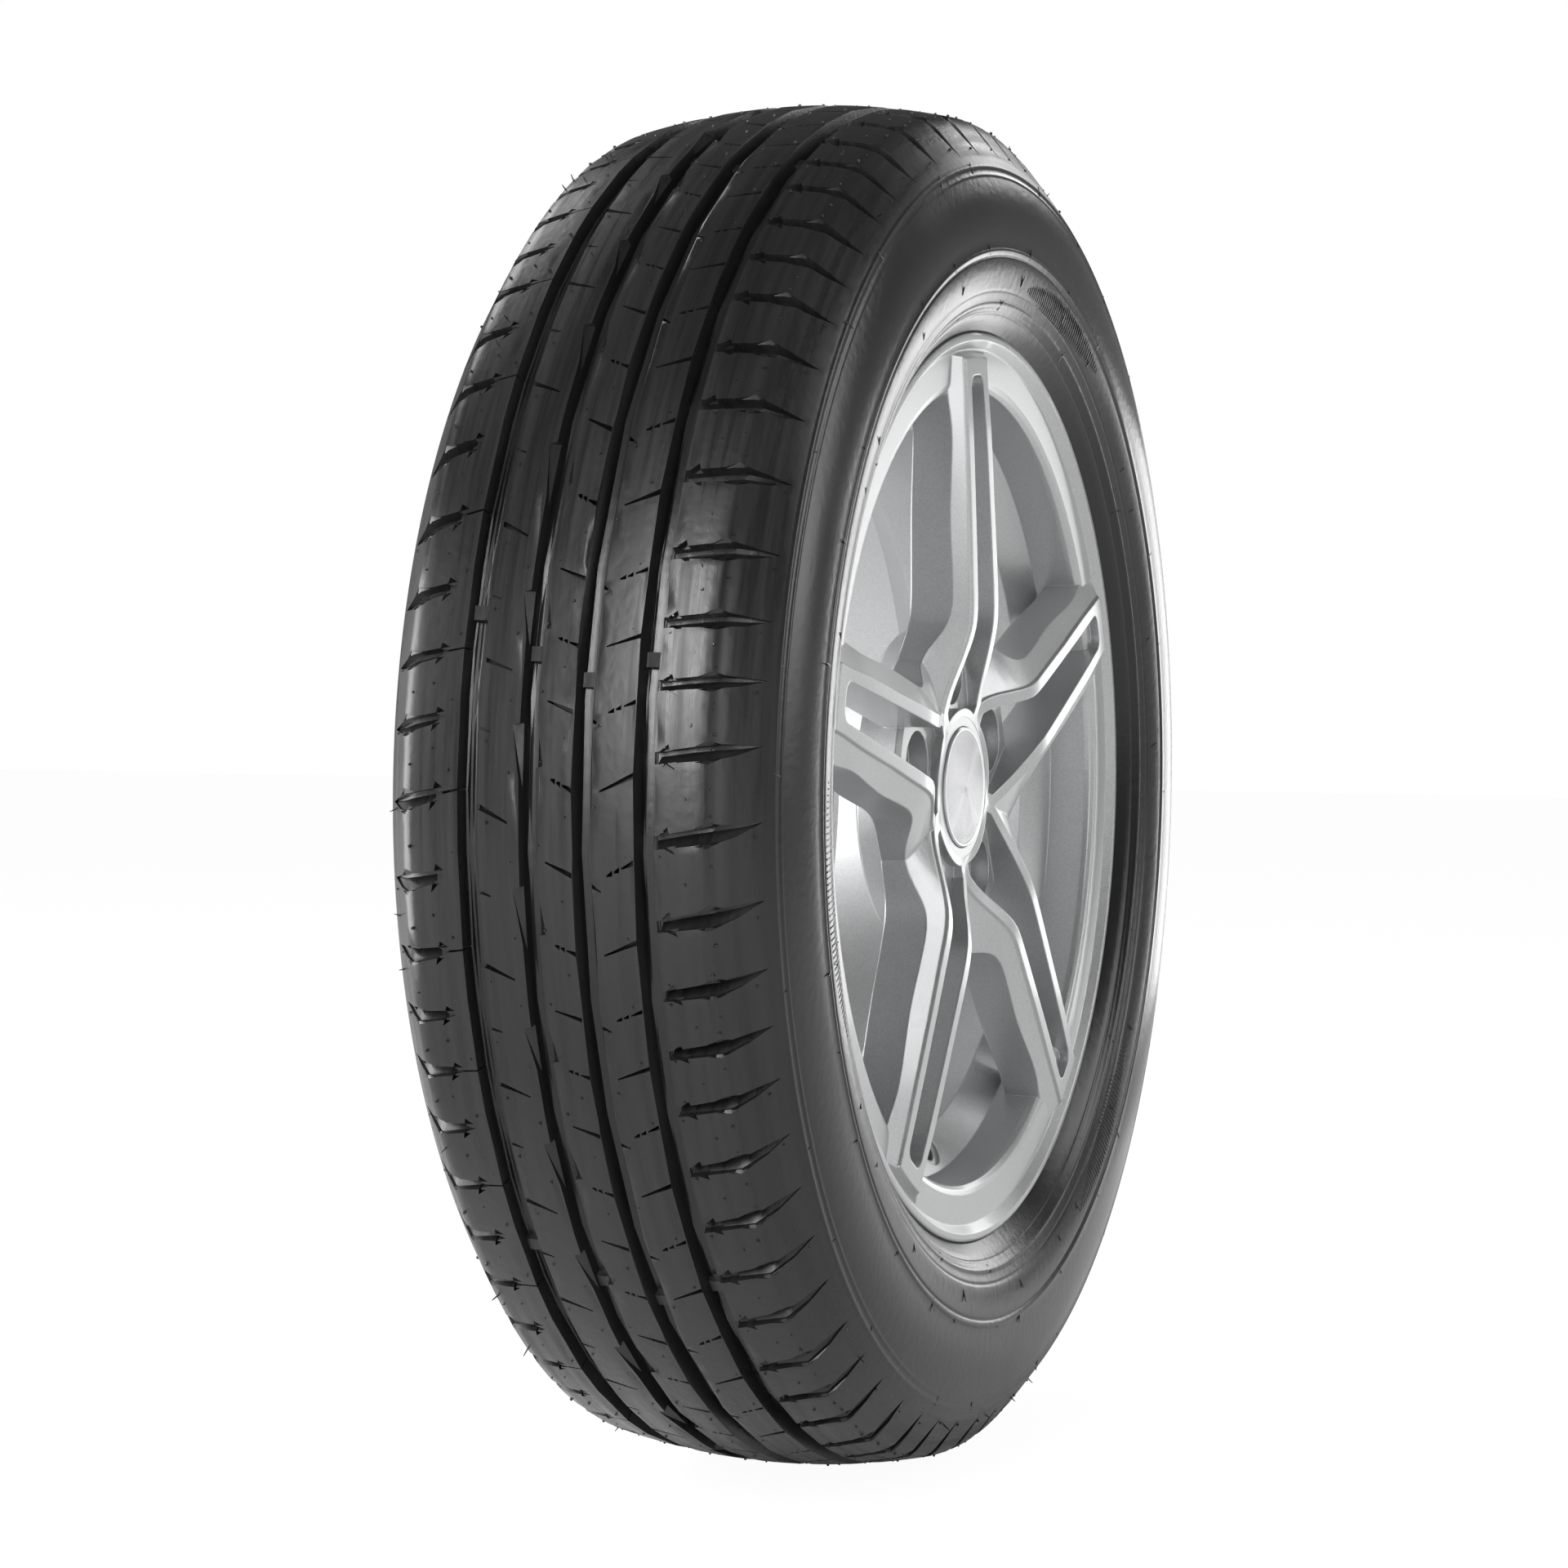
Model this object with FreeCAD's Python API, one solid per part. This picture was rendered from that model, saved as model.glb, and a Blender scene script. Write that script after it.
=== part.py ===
import FreeCAD, Part
import math
import os
from FreeCAD import Vector

os.makedirs("parts", exist_ok=True)

# A 165/70 R14 tyre on a 14 x 5 J cast wheel, in millimetres and degrees.
# The wheel turns about Y, its street side faces -Y, and the origin is the wheel's centre.

# Tyre
tyre_diameter = 586.6
section_width = 167.0
crown_radius = 265.0
tread_width = 125.6
widest_diameter = 466.0
buttress_width = 154.0
buttress_diameter = 535.0
lower_bulge = (0.78, 0.45)
upper_bulge = (0.80, 0.48)
groove_places = (34.2, 8.8, -13.0, -37.2)
groove_widths = (9.0, 7.2, 6.9, 7.7)
groove_depth = 7.5
groove_draft = 8.0
under_tread = 4.5
sidewall = 7.0
bead_width = 17.0
bead_core = 6.0
bead_clearance = 0.1
bead_line_reach = 3.0
bead_line_rise = 4.5
# Each bulge above is where a sidewall's arc passes on its way to the widest place, as shares of the
# run across and of the run outwards.

# Shoulder grooves of the tread, spaced in three pitch lengths so that they don't hum
pitch_lengths = {"s": 4.6, "m": 5.3, "l": 6.2}
pitch_order = "lssmssmmllmsmllmssmmmmlmmlm" + "smlmssmlmmslmsmmlsmmslmsmllmsmsmmlsmmslml"
first_pitch = 107.8
shoulder_groove_width = 3.8
shoulder_groove_depth = 4.5
shoulder_groove_reach = 75.6
shoulder_groove_slant = 4.4
shoulder_groove_lead = 5.0
inner_shoulder_start = 46.0
inner_shoulder_shift = 0.45

# Sipes of the middle ribs, each in every second pitch: where it opens and ends across the tread,
# how far it drifts round it, its place within a pitch, and the first pitch that has it
rib_sipes = (
    {"mouth": 30.7, "tip": 17.0, "drift": 5.6, "phase": 0.60, "first": 1},
    {"mouth": -10.6, "tip": 1.6, "drift": -4.1, "phase": 0.40, "first": 0},
    {"mouth": -10.6, "tip": -0.9, "drift": -3.2, "phase": 0.40, "first": 1},
    {"mouth": -34.4, "tip": -20.2, "drift": 5.1, "phase": 0.22, "first": 1},
    {"mouth": -34.4, "tip": -22.7, "drift": 4.2, "phase": 0.22, "first": 0},
)
sipe_width = 1.4
sipe_depth = 5.0

# Saw-tooth chamfers on both edges of the second groove, each in every second pitch: width is from
# just inside the groove, length runs round the tread, and widest is a share of that length
saw_teeth = (
    {"edge": 11.6, "width": 3.9, "length": 23.0, "widest": 0.10, "phase": 0.97, "first": 0},
    {"edge": 6.0, "width": -3.5, "length": 19.0, "widest": 0.95, "phase": 0.80, "first": 0},
)
tooth_depth = 3.0

# Rim
rim_width = 127.0
bead_seat_diameter = 355.6
seat_width = 20.0
seat_taper = 5.0
seat_fillet = 6.5
flange_height = 17.5
lip_reach = 7.8
lip_round = 1.3
lip_face = 2.2
ledge_depth = 3.8
ledge_tilt = 0.5
ledge_outer_radius = 188.2
ledge_inner_radius = 175.5
ledge_round = 4.5
barrel_draft = 1.5
well_depth = 17.8
well_front = -33.3
well_back = 8.0
well_ramp = 14.0
well_ramp_top = 2.5
rim_wall = 6.0

# Hub
hub_offset = 36.0
hub_pad_radius = 68.0
hub_front_radius = 72.0
hub_floor = -56.8
hub_edge = 2.0
pad_edge = 1.0
hub_ring_radius = 32.5
hub_ring_foot = 1.6
hub_face = -60.5
bore_step = 4.5
centre_bore_diameter = 57.1
lug_circle = 100.0
lug_hole_diameter = 15.0
lug_seat_diameter = 22.0
lug_pocket_diameter = 28.0
lug_pocket_floor = -48.0
valve_hole_diameter = 11.5
valve_counterbore_diameter = 17.0
valve_counterbore_depth = 1.2

# Twin spokes
spoke_count = 5
spoke_turn = 4.4
spoke_outer_radius = 184.5
spoke_end_slope = 0.7
face_bulge = 1.7
bulge_run = 100.0
spoke_root_radius = 22.75
bend_radius = 78.0
split_radius = 42.0
window_corner_radius = 71.0
land_width = 5.4
land_step = 1.5
step_run = 0.8
slot_half_width_rim = 8.2
slot_half_width_bend = 11.0
slot_end_gap = 7.5
slot_mouth_angle = 28.8
slot_corner = 5.5
flank_run_rim = 9.6
flank_run_bend = 10.5
flank_fall_rim = 2.7
flank_fall_bend = 5.0
valley_face = -58.0
spoke_back_rim = -51.0
spoke_back_hub = -46.0
wall_draft = 0.8
overlap = 1.2

# Centre cap
cap_diameter = 52.2
cap_clearance = 0.3
cap_head = 3.4
cap_stand = 1.0
cap_edge = 0.6
cap_neck_diameter = 49.8
cap_neck_length = 4.0
cap_skirt_wall = 1.8
cap_skirt_length = 8.4
cap_barb = 0.9
cap_finger_count = 6
cap_finger_slot = 7.0
cap_finger_root = 1.5
face_disc_diameter = 49.0
face_disc_thickness = 0.8
face_disc_dome = 0.6
ring_width = 1.6
ring_depth = 0.9
ring_offset = 2.2
ring_gap_angle = 30.0
fit_gap = 0.1

AXIS = Vector(0, 1, 0)
ORIGIN = Vector(0, 0, 0)
tyre_radius = tyre_diameter / 2
seat_radius = bead_seat_diameter / 2
half_rim = rim_width / 2
lip_plane = half_rim + lip_reach
half_sector = 180.0 / spoke_count
lip_top = seat_radius + flange_height
flange_roll = lip_reach - lip_round
barrel_radius = ledge_inner_radius - ledge_round


def at(y, r):
    """A point of a half section: y along the axle, r out from it."""
    return Vector(r, y, 0)


def line(a, b):
    return Part.LineSegment(a, b).toShape()


def arc(a, middle, b):
    return Part.Arc(a, middle, b).toShape()


def path(*points):
    return [line(a, b) for a, b in zip(points, points[1:])]


def round_the_axle(edges):
    """A closed half section turned once round the axle."""
    solid = Part.Face(Part.Wire(Part.__sortEdges__(edges))).revolve(ORIGIN, AXIS, 360)
    if solid.Volume < 0:
        solid.reverse()
    return solid


def turned(shape, angle):
    """A copy turned about the axle, from +X towards +Z."""
    copy = shape.copy()
    copy.rotate(ORIGIN, AXIS, -angle)
    return copy


def on_arc(centre, radius, angle):
    """A point of a section's arc; the angle runs from outboard (+y) towards larger radius."""
    return at(centre.y + radius * math.cos(math.radians(angle)),
              centre.x + radius * math.sin(math.radians(angle)))


def rounded(centre, radius, start, end, steps):
    """Points of a small rounding, which has a few straight runs so that it meshes to few triangles."""
    return [on_arc(centre, radius, start + (end - start) * k / steps) for k in range(steps + 1)]


def mirrored(points):
    """The same half section on the other side of the wheel's middle plane."""
    return [at(-point.y, point.x) for point in points]


def solid_of(polygons):
    faces = [Part.Face(Part.makePolygon(points + points[:1])) for points in polygons]
    solid = Part.Solid(Part.Shell(faces))
    if solid.Volume < 0:
        solid.reverse()
    return solid


def crown(y):
    """Radius of the tread's surface at a place across it."""
    return tyre_radius - crown_radius + math.sqrt(crown_radius ** 2 - y ** 2)


def seat(y, clearance=0.0):
    """Radius of the tapered bead seat."""
    run = half_rim - seat_fillet - abs(y)
    return seat_radius - run * math.tan(math.radians(seat_taper)) + clearance


fillet_centre = at(half_rim - seat_fillet, seat_radius + seat_fillet)
roll_centre = at(half_rim + flange_roll, lip_top - flange_roll)
toe = at(half_rim - bead_width, seat(half_rim - bead_width, bead_clearance))


def tyre_side(side):
    """Outer edges of one side, from the bead's toe to the edge of the tread."""
    heel = rounded(fillet_centre, seat_fillet - bead_clearance, -90, 0, 1)
    wrap = rounded(roll_centre, flange_roll + bead_clearance, 180, 90, 3)
    lower = at(lip_plane + bead_line_reach, lip_top + bead_line_rise)
    widest = at(section_width / 2, widest_diameter / 2)
    buttress = at(buttress_width / 2, buttress_diameter / 2)
    edge = at(tread_width / 2, crown(tread_width / 2))

    def bulge(start, shares):
        return at(start.y + shares[0] * (widest.y - start.y), start.x + shares[1] * (widest.x - start.x))

    edges = path(toe, *heel, *wrap, lower)
    edges += [arc(lower, bulge(lower, lower_bulge), widest),
              arc(widest, bulge(buttress, upper_bulge), buttress), line(buttress, edge)]
    if side < 0:
        edges = [edge.mirror(ORIGIN, AXIS) for edge in edges]
    return edges


def tread():
    """Ribs and round grooves, from the inner edge of the tread to the outer one."""
    edges = []
    start = tread_width / 2
    draft = groove_depth * math.tan(math.radians(groove_draft))
    for place, width in zip(groove_places, groove_widths):
        near = place + width / 2
        far = place - width / 2
        middle = (start + near) / 2
        edges.append(arc(at(start, crown(start)), at(middle, crown(middle)), at(near, crown(near))))
        edges += path(at(near, crown(near)), at(near - draft, crown(place) - groove_depth),
                      at(far + draft, crown(place) - groove_depth), at(far, crown(far)))
        start = far
    end = -tread_width / 2
    middle = (start + end) / 2
    edges.append(arc(at(start, crown(start)), at(middle, crown(middle)), at(end, crown(end))))
    return edges


def tyre_inside():
    """Inner edges from toe to toe, in straight runs, because nothing sees them."""
    bead_top = at(toe.y + bead_core, lip_top + bead_line_rise)
    widest = at(section_width / 2 - sidewall, widest_diameter / 2)
    low = at(widest.y - sidewall / 2, (bead_top.x + widest.x) / 2)
    roof = at(tread_width / 4, crown(tread_width / 4) - groove_depth - under_tread)
    shoulder = at(tread_width / 2, roof.x - sidewall)
    high = at(widest.y - sidewall / 4, (shoulder.x + widest.x) / 2)
    half = [toe, bead_top, low, widest, high, shoulder, roof]
    return path(*half, *reversed(mirrored(half)))


def shoulder_cutter(side, start):
    """One tapered groove across a shoulder: a parallel run, then a point on the buttress."""
    half = shoulder_groove_width / 2
    edge = tread_width / 2
    reach = shoulder_groove_reach
    full = start + shoulder_groove_lead
    slope = side * shoulder_groove_slant / (reach - start)
    drift = {place: slope * (place - start) for place in (start, full, edge, reach)}
    near = crown(edge) - shoulder_groove_depth
    floor = {start: crown(start) - shoulder_groove_depth}
    floor[edge] = near
    floor[full] = floor[start] + (near - floor[start]) * (full - start) / (edge - start)
    floor[reach] = buttress_diameter / 2
    widths = {start: half / 2, full: half, edge: half}
    top = tyre_radius + shoulder_groove_depth

    def corners(place, height):
        return [Vector(height, side * place, drift[place] + sign * widths[place]) for sign in (-1, 1)]

    tip_low = Vector(floor[reach], side * reach, drift[reach])
    tip_high = Vector(top, side * reach, drift[reach])
    low = {place: corners(place, floor[place]) for place in widths}
    high = {place: corners(place, top) for place in widths}
    walls = [[low[start][0], low[start][1], high[start][1], high[start][0]]]
    for k in (0, 1):
        walls.append([low[start][k], low[full][k], high[full][k], high[start][k]])
        walls.append([low[full][k], low[edge][k], high[edge][k], high[full][k]])
        walls.append([low[edge][k], tip_low, tip_high, high[edge][k]])
    floors = [[low[start][0], low[full][0], low[edge][0], low[edge][1], low[full][1], low[start][1]],
              [low[edge][0], tip_low, low[edge][1]]]
    roof = [high[start][0], high[full][0], high[edge][0], tip_high,
            high[edge][1], high[full][1], high[start][1]]
    return solid_of(walls + floors + [roof])


def sipe_cutter(sipe):
    """A narrow cut from a groove into a rib, which runs out to a point."""
    half = sipe_width / 2
    ends = []
    for height in (crown(sipe["tip"]) - sipe_depth, tyre_radius + sipe_depth):
        ends.append([Vector(height, sipe["mouth"], -half), Vector(height, sipe["mouth"], half),
                     Vector(height, sipe["tip"], sipe["drift"])])
    low, high = ends
    walls = [[low[a], low[b], high[b], high[a]] for a, b in ((0, 1), (1, 2), (2, 0))]
    return solid_of(walls + ends)


def tooth_cutter(tooth):
    """A three-sided cut that takes the edge off a rib, and is deepest where it is widest."""
    level = crown(tooth["edge"])
    start = -tooth["length"] / 2
    place = start + tooth["widest"] * tooth["length"]
    low = [Vector(level, tooth["edge"], start), Vector(level, tooth["edge"] + tooth["width"], place),
           Vector(level, tooth["edge"], -start)]
    high = [point + Vector(tooth_depth, 0, 0) for point in low]
    foot = Vector(level - tooth_depth, tooth["edge"], place)
    sides = ((0, 1), (1, 2), (2, 0))
    walls = [[low[a], low[b], high[b], high[a]] for a, b in sides]
    floors = [[low[a], low[b], foot] for a, b in sides]
    return solid_of(walls + floors + [high])


def pitch_angles():
    """Angles of the shoulder grooves round the tread, from +X towards +Z."""
    total = sum(pitch_lengths[letter] for letter in pitch_order)
    angle = first_pitch
    angles = []
    for letter in pitch_order:
        angles.append(angle)
        angle += pitch_lengths[letter] * 360.0 / total
    return angles


def make_tyre():
    body = round_the_axle(tyre_side(1) + tread() + tyre_side(-1) + tyre_inside())
    outer_start = abs(groove_places[-1])
    outer_cutter = shoulder_cutter(-1, outer_start)
    inner_cutter = shoulder_cutter(1, inner_shoulder_start)
    angles = pitch_angles()
    steps = [(b - a) % 360 for a, b in zip(angles, angles[1:] + angles[:1])]
    cutters = [turned(outer_cutter, angle) for angle in angles]
    for angle, step in zip(angles, steps):
        cutters.append(turned(inner_cutter, angle + inner_shoulder_shift * step))
    small_cuts = [(sipe_cutter(sipe), sipe) for sipe in rib_sipes]
    small_cuts += [(tooth_cutter(tooth), tooth) for tooth in saw_teeth]
    for cutter, cut in small_cuts:
        for k in range(cut["first"], len(angles), 2):
            cutters.append(turned(cutter, angles[k] + cut["phase"] * steps[k]))
    return body.cut(Part.makeCompound(cutters))


def rim_flange():
    """Tyre-side points of a flange, from the end of its bead seat over the roll to the lip."""
    lip = rounded(at(lip_plane - lip_round, lip_top - lip_round), lip_round, 90, 0, 2)
    seat_end = at(seat_end_place, seat(seat_end_place))
    return [seat_end, *rounded(fillet_centre, seat_fillet, -90, 0, 1),
            *rounded(roll_centre, flange_roll, 180, 90, 3), *lip[1:]]


def offset_place(a, b, shift, r):
    """Axial place where the slope from a to b, moved inwards by a wall, passes a radius."""
    fall = (b.y - a.y) / (a.x - b.x)
    length = math.hypot(b.y - a.y, a.x - b.x)
    return a.y - shift * (a.x - b.x) / length + (a.x - shift * abs(b.y - a.y) / length - r) * fall


well_radius = seat_radius - well_depth
well_inside = well_radius - rim_wall
seat_end_place = half_rim - seat_width
front_top = at(-seat_end_place, seat(seat_end_place))
front_foot = at(well_front, well_radius)
back_foot = at(well_back, well_radius)
back_top = at(well_back + well_ramp, seat(seat_end_place) - well_ramp_top)


def make_rim():
    """Flanges, bead seats and drop well, with the ledge behind the street-side lip."""
    flange = rim_flange()
    ledge_place = -lip_plane + ledge_depth
    round_centre = at(ledge_place + ledge_tilt + ledge_round, ledge_inner_radius)
    slope_top = barrel_radius - barrel_draft
    street_side = [at(-lip_plane, flange[-1].x - lip_face), at(ledge_place, ledge_outer_radius),
                   *rounded(round_centre, ledge_round, 180, 270, 3),
                   at(offset_place(front_top, front_foot, rim_wall, slope_top), slope_top),
                   at(offset_place(front_top, front_foot, rim_wall, well_inside), well_inside)]
    car_side = [at(well_back + rim_wall / 2, well_inside),
                at(back_top.y + rim_wall / 2, back_top.x - rim_wall),
                at(half_rim - rim_wall / 3, barrel_radius),
                at(half_rim + rim_wall / 2, lip_top - 1.5 * rim_wall),
                at(lip_plane, lip_top - rim_wall)]
    around = [*reversed(mirrored(flange)), front_foot, back_foot, back_top, *flange,
              *reversed(car_side), *reversed(street_side)]
    return round_the_axle(path(*around, around[0]))


cap_recess_radius = cap_diameter / 2 + cap_clearance
cap_neck_radius = cap_neck_diameter / 2
cap_seat = hub_face + cap_head - cap_stand
neck_end = cap_seat + cap_neck_length
bore_radius = centre_bore_diameter / 2


def make_hub():
    """Hub disc with its mounting pad, centre bore, cap recess and raised ring."""
    around = [
        at(hub_face, cap_recess_radius), at(hub_face, hub_ring_radius),
        at(hub_floor, hub_ring_radius + hub_ring_foot), at(hub_floor, hub_front_radius - hub_edge),
        at(hub_floor + hub_edge, hub_front_radius), at(-hub_offset - pad_edge, hub_pad_radius),
        at(-hub_offset, hub_pad_radius - pad_edge), at(-hub_offset, bore_radius),
        at(neck_end + bore_step, bore_radius), at(neck_end, cap_neck_radius),
        at(cap_seat, cap_neck_radius), at(cap_seat, cap_recess_radius)]
    return round_the_axle(path(*around, around[0]))


def ease(t):
    """A smooth step from 0 to 1."""
    t = min(max(t, 0.0), 1.0)
    return t * t * (3 - 2 * t)


sector_slope = math.tan(math.radians(half_sector))
split_place = split_radius * math.cos(math.radians(half_sector))
corner_place = window_corner_radius * math.cos(math.radians(half_sector))


def along(u, inner, outer):
    """A size that runs straight from the bend of the legs to the rim."""
    return inner + (outer - inner) * (u - bend_radius) / (spoke_outer_radius - bend_radius)


def slot_half(u):
    """Half width of the slot between the two legs of a spoke."""
    swing = ease((bend_radius - u) / (bend_radius - split_place))
    straight = along(max(u, bend_radius), slot_half_width_bend, slot_half_width_rim)
    return straight + swing * (split_place * sector_slope - land_width - straight)


def spoke_section(u):
    """Half section of a twin spoke: land, step, flank and side wall, as (across, along the axle)."""
    inward = (bend_radius - u) / (bend_radius - hub_ring_radius * math.cos(math.radians(half_sector)))
    arch = -lip_plane - face_bulge * math.sin(math.pi / 2 * min(1.0, (spoke_outer_radius - u) / bulge_run))
    top = arch + ease(inward) * (hub_face - arch)
    land = slot_half(u) + land_width
    if u < split_place:
        land = u * sector_slope + overlap
    back = spoke_back_hub + (spoke_back_rim - spoke_back_hub) * u / spoke_outer_radius
    if u >= bend_radius:
        flank = land + along(u, flank_run_bend, flank_run_rim)
        fall = top + land_step + along(u, flank_fall_bend, flank_fall_rim)
    else:
        turn = min(1.0, (bend_radius - u) / (bend_radius - corner_place))
        bend_top = -lip_plane - face_bulge + land_step + flank_fall_bend
        reach = max(u, corner_place) * sector_slope + overlap - land
        flank = land + flank_run_bend + turn ** 2 * (reach - flank_run_bend)
        fall = bend_top + ease(turn) * (valley_face - bend_top)
    if u < corner_place:
        flank = u * sector_slope + 5 * overlap
    return [(land, top), (land + step_run, top + land_step), (flank, fall), (flank + wall_draft, back)]


def spoke_body():
    """A twin spoke before its slot is cut: sections from hub to rim, drawn along +X."""
    root = spoke_root_radius
    places = [root, (root + split_place) / 2, split_place, (split_place * 2 + corner_place) / 3,
              (split_place + corner_place * 2) / 3, corner_place, (corner_place * 2 + bend_radius) / 3,
              (corner_place + bend_radius * 2) / 3, bend_radius]
    straight = (spoke_outer_radius + ledge_round - bend_radius) / 4
    places += [bend_radius + straight * k for k in (1, 2, 3, 4)]
    wires = []
    for u in places:
        half = spoke_section(u)
        points = [Vector(u, y, v) for v, y in half] + [Vector(u, y, -v) for v, y in reversed(half)]
        wires.append(Part.makePolygon(points + points[:1]))
    return Part.makeLoft(wires, True, False, False, 3)


def spoke_slot():
    """The slot's outline, round at the rim end and open to the lug pocket at the hub end."""
    end = spoke_outer_radius - slot_end_gap
    edges = []
    for side in (1, -1):
        places = [split_place + (bend_radius - split_place) * k / 5.0 for k in range(6)]
        curve = Part.BSplineCurve()
        curve.interpolate([Vector(u, 0, side * slot_half(u)) for u in places])
        edges.append(curve.toShape())
        straight_end = Vector(end - slot_corner, 0, side * slot_half(end))
        edges.append(line(Vector(bend_radius, 0, side * slot_half(bend_radius)), straight_end))
        turn = slot_corner * math.sqrt(0.5)
        middle = Vector(end - slot_corner + turn, 0, side * (slot_half(end) - slot_corner + turn))
        corner_end = Vector(end, 0, side * (slot_half(end) - slot_corner))
        edges.append(arc(straight_end, middle, corner_end))
    flat = slot_half(end) - slot_corner
    edges.append(line(Vector(end, 0, flat), Vector(end, 0, -flat)))
    inner = hub_ring_radius + hub_ring_foot
    foot = inner * math.cos(math.radians(slot_mouth_angle))
    side_foot = inner * math.sin(math.radians(slot_mouth_angle))
    edges.append(arc(Vector(foot, 0, side_foot), Vector(inner, 0, 0), Vector(foot, 0, -side_foot)))
    for side in (1, -1):
        mouth = Vector(split_place, 0, side * slot_half(split_place))
        edges.append(line(Vector(foot, 0, side * side_foot), mouth))
    face = Part.Face(Part.Wire(Part.__sortEdges__(edges)))
    face.translate(Vector(0, -2 * lip_plane, 0))
    return face.extrude(Vector(0, 2 * lip_plane, 0))


def spoke_envelope():
    """The space a spoke may fill: from the hub ring to the barrel wall, and over the ledge to the lip."""
    front = -1.2 * lip_plane
    back = -hub_offset - hub_edge
    ledge = -lip_plane + ledge_depth + overlap
    wall = barrel_radius + overlap
    core = (hub_ring_radius + bore_radius) / 2
    around = [at(front, core), at(front, spoke_outer_radius + spoke_end_slope * (lip_plane + front)),
              at(ledge, spoke_outer_radius + spoke_end_slope * (lip_plane + ledge)),
              at(ledge, ledge_inner_radius), at(ledge + ledge_round, wall), at(back, wall), at(back, core)]
    return round_the_axle(path(*around, around[0]))


def make_spoke():
    far = lip_top * 1.2
    wedge = Part.Face(Part.makePolygon([ORIGIN, Vector(far, 0, far * sector_slope),
                                        Vector(far, 0, -far * sector_slope), ORIGIN]))
    wedge.translate(Vector(0, -2 * lip_plane, 0))
    sector = wedge.extrude(Vector(0, 2 * lip_plane, 0))
    return spoke_body().common(sector).common(spoke_envelope()).cut(spoke_slot())


def rod(diameter, start, end, place, angle):
    """A round cutter along the axle's direction, from one axial place to another."""
    return turned(Part.makeCylinder(diameter / 2, end - start, Vector(place, start, 0), AXIS), angle)


def make_wheel():
    spoke = make_spoke()
    angles = [90.0 + spoke_turn + k * 360.0 / spoke_count for k in range(spoke_count)]
    spokes = [turned(spoke, angle) for angle in angles]
    wheel = make_rim().multiFuse([make_hub()] + spokes).removeSplitter()
    cutters = []
    seat_rise = (lug_seat_diameter - lug_hole_diameter) / 2 * math.sqrt(3)
    for angle in angles:
        place = lug_circle / 2
        cutters.append(rod(lug_pocket_diameter, -lip_plane, lug_pocket_floor, place, angle))
        cutters.append(rod(lug_hole_diameter, -lip_plane, 0, place, angle))
        cone = Part.makeCone(lug_seat_diameter / 2, lug_hole_diameter / 2, seat_rise,
                             Vector(place, lug_pocket_floor, 0), AXIS)
        cutters.append(turned(cone, angle))
    cutters += valve_cutters(angles[0] - 180.0)
    return wheel.cut(Part.makeCompound(cutters))


def valve_cutters(angle):
    """The valve hole, square to the slope behind the bead seat, with a shallow counterbore."""
    run = front_foot.y - front_top.y
    drop = front_top.x - front_foot.x
    length = math.hypot(run, drop)
    outward = Vector(-run / length, -drop / length, 0)
    place = well_inside + valve_hole_diameter / 2
    centre = at(offset_place(front_top, front_foot, rim_wall, place), place)
    hole = Part.makeCylinder(valve_hole_diameter / 2, 4 * rim_wall, centre - outward * 2 * rim_wall, outward)
    counterbore = Part.makeCylinder(valve_counterbore_diameter / 2, 2 * rim_wall,
                                    centre - outward * valve_counterbore_depth, outward)
    return [turned(hole, angle), turned(counterbore, angle)]


skirt_radius = cap_neck_radius - cap_clearance
skirt_inside = skirt_radius - cap_skirt_wall
cap_front = cap_seat - cap_head
ring_place = neck_end + ring_offset


def ring_section(gap):
    """Outline of the spring ring, which stands half in a groove of the skirt."""
    near = ring_place - ring_width / 2 - gap
    far = ring_place + ring_width / 2 + gap
    inside = skirt_inside - ring_depth / 2
    outside = skirt_inside + ring_depth / 2 + gap
    return path(at(near, inside), at(near, outside), at(far, outside), at(far, inside), at(near, inside))


def make_cap():
    """Cap body: a flat head with a recess for the disc, and a skirt slit into snap fingers."""
    head_radius = cap_diameter / 2
    recess = face_disc_diameter / 2 + fit_gap
    floor = cap_front + face_disc_thickness
    skirt_end = cap_seat + cap_skirt_length
    barb = neck_end + fit_gap
    around = [at(floor, 0), at(floor, recess), at(cap_front, recess), at(cap_front, head_radius - cap_edge),
              at(cap_front + cap_edge, head_radius), at(cap_seat, head_radius), at(cap_seat, skirt_radius),
              at(barb, skirt_radius), at(barb + cap_barb, skirt_radius + cap_barb),
              at(skirt_end, skirt_radius - cap_edge), at(skirt_end, skirt_inside),
              at(cap_seat - cap_edge, skirt_inside), at(cap_seat - cap_edge, 0)]
    body = round_the_axle(path(*around, around[0]))
    slots = []
    for k in range(cap_finger_count):
        slot = Part.makeBox(head_radius, cap_skirt_length, cap_finger_slot,
                            Vector(skirt_inside / 2, cap_seat + cap_finger_root, -cap_finger_slot / 2))
        slots.append(turned(slot, k * 360.0 / cap_finger_count))
    groove = round_the_axle(ring_section(fit_gap))
    return body.cut(Part.makeCompound(slots + [groove]))


def make_face_disc():
    """A thin spun disc with a low dome."""
    radius = face_disc_diameter / 2
    back = cap_front + face_disc_thickness
    peak = cap_front - face_disc_dome
    sphere = (radius ** 2 + face_disc_dome ** 2) / (2 * face_disc_dome)
    middle = at(peak + sphere - math.sqrt(sphere ** 2 - (radius / 2) ** 2), radius / 2)
    edges = path(at(peak, 0), at(back, 0), at(back, radius), at(cap_front, radius))
    edges.append(arc(at(cap_front, radius), middle, at(peak, 0)))
    return round_the_axle(edges)


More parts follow.
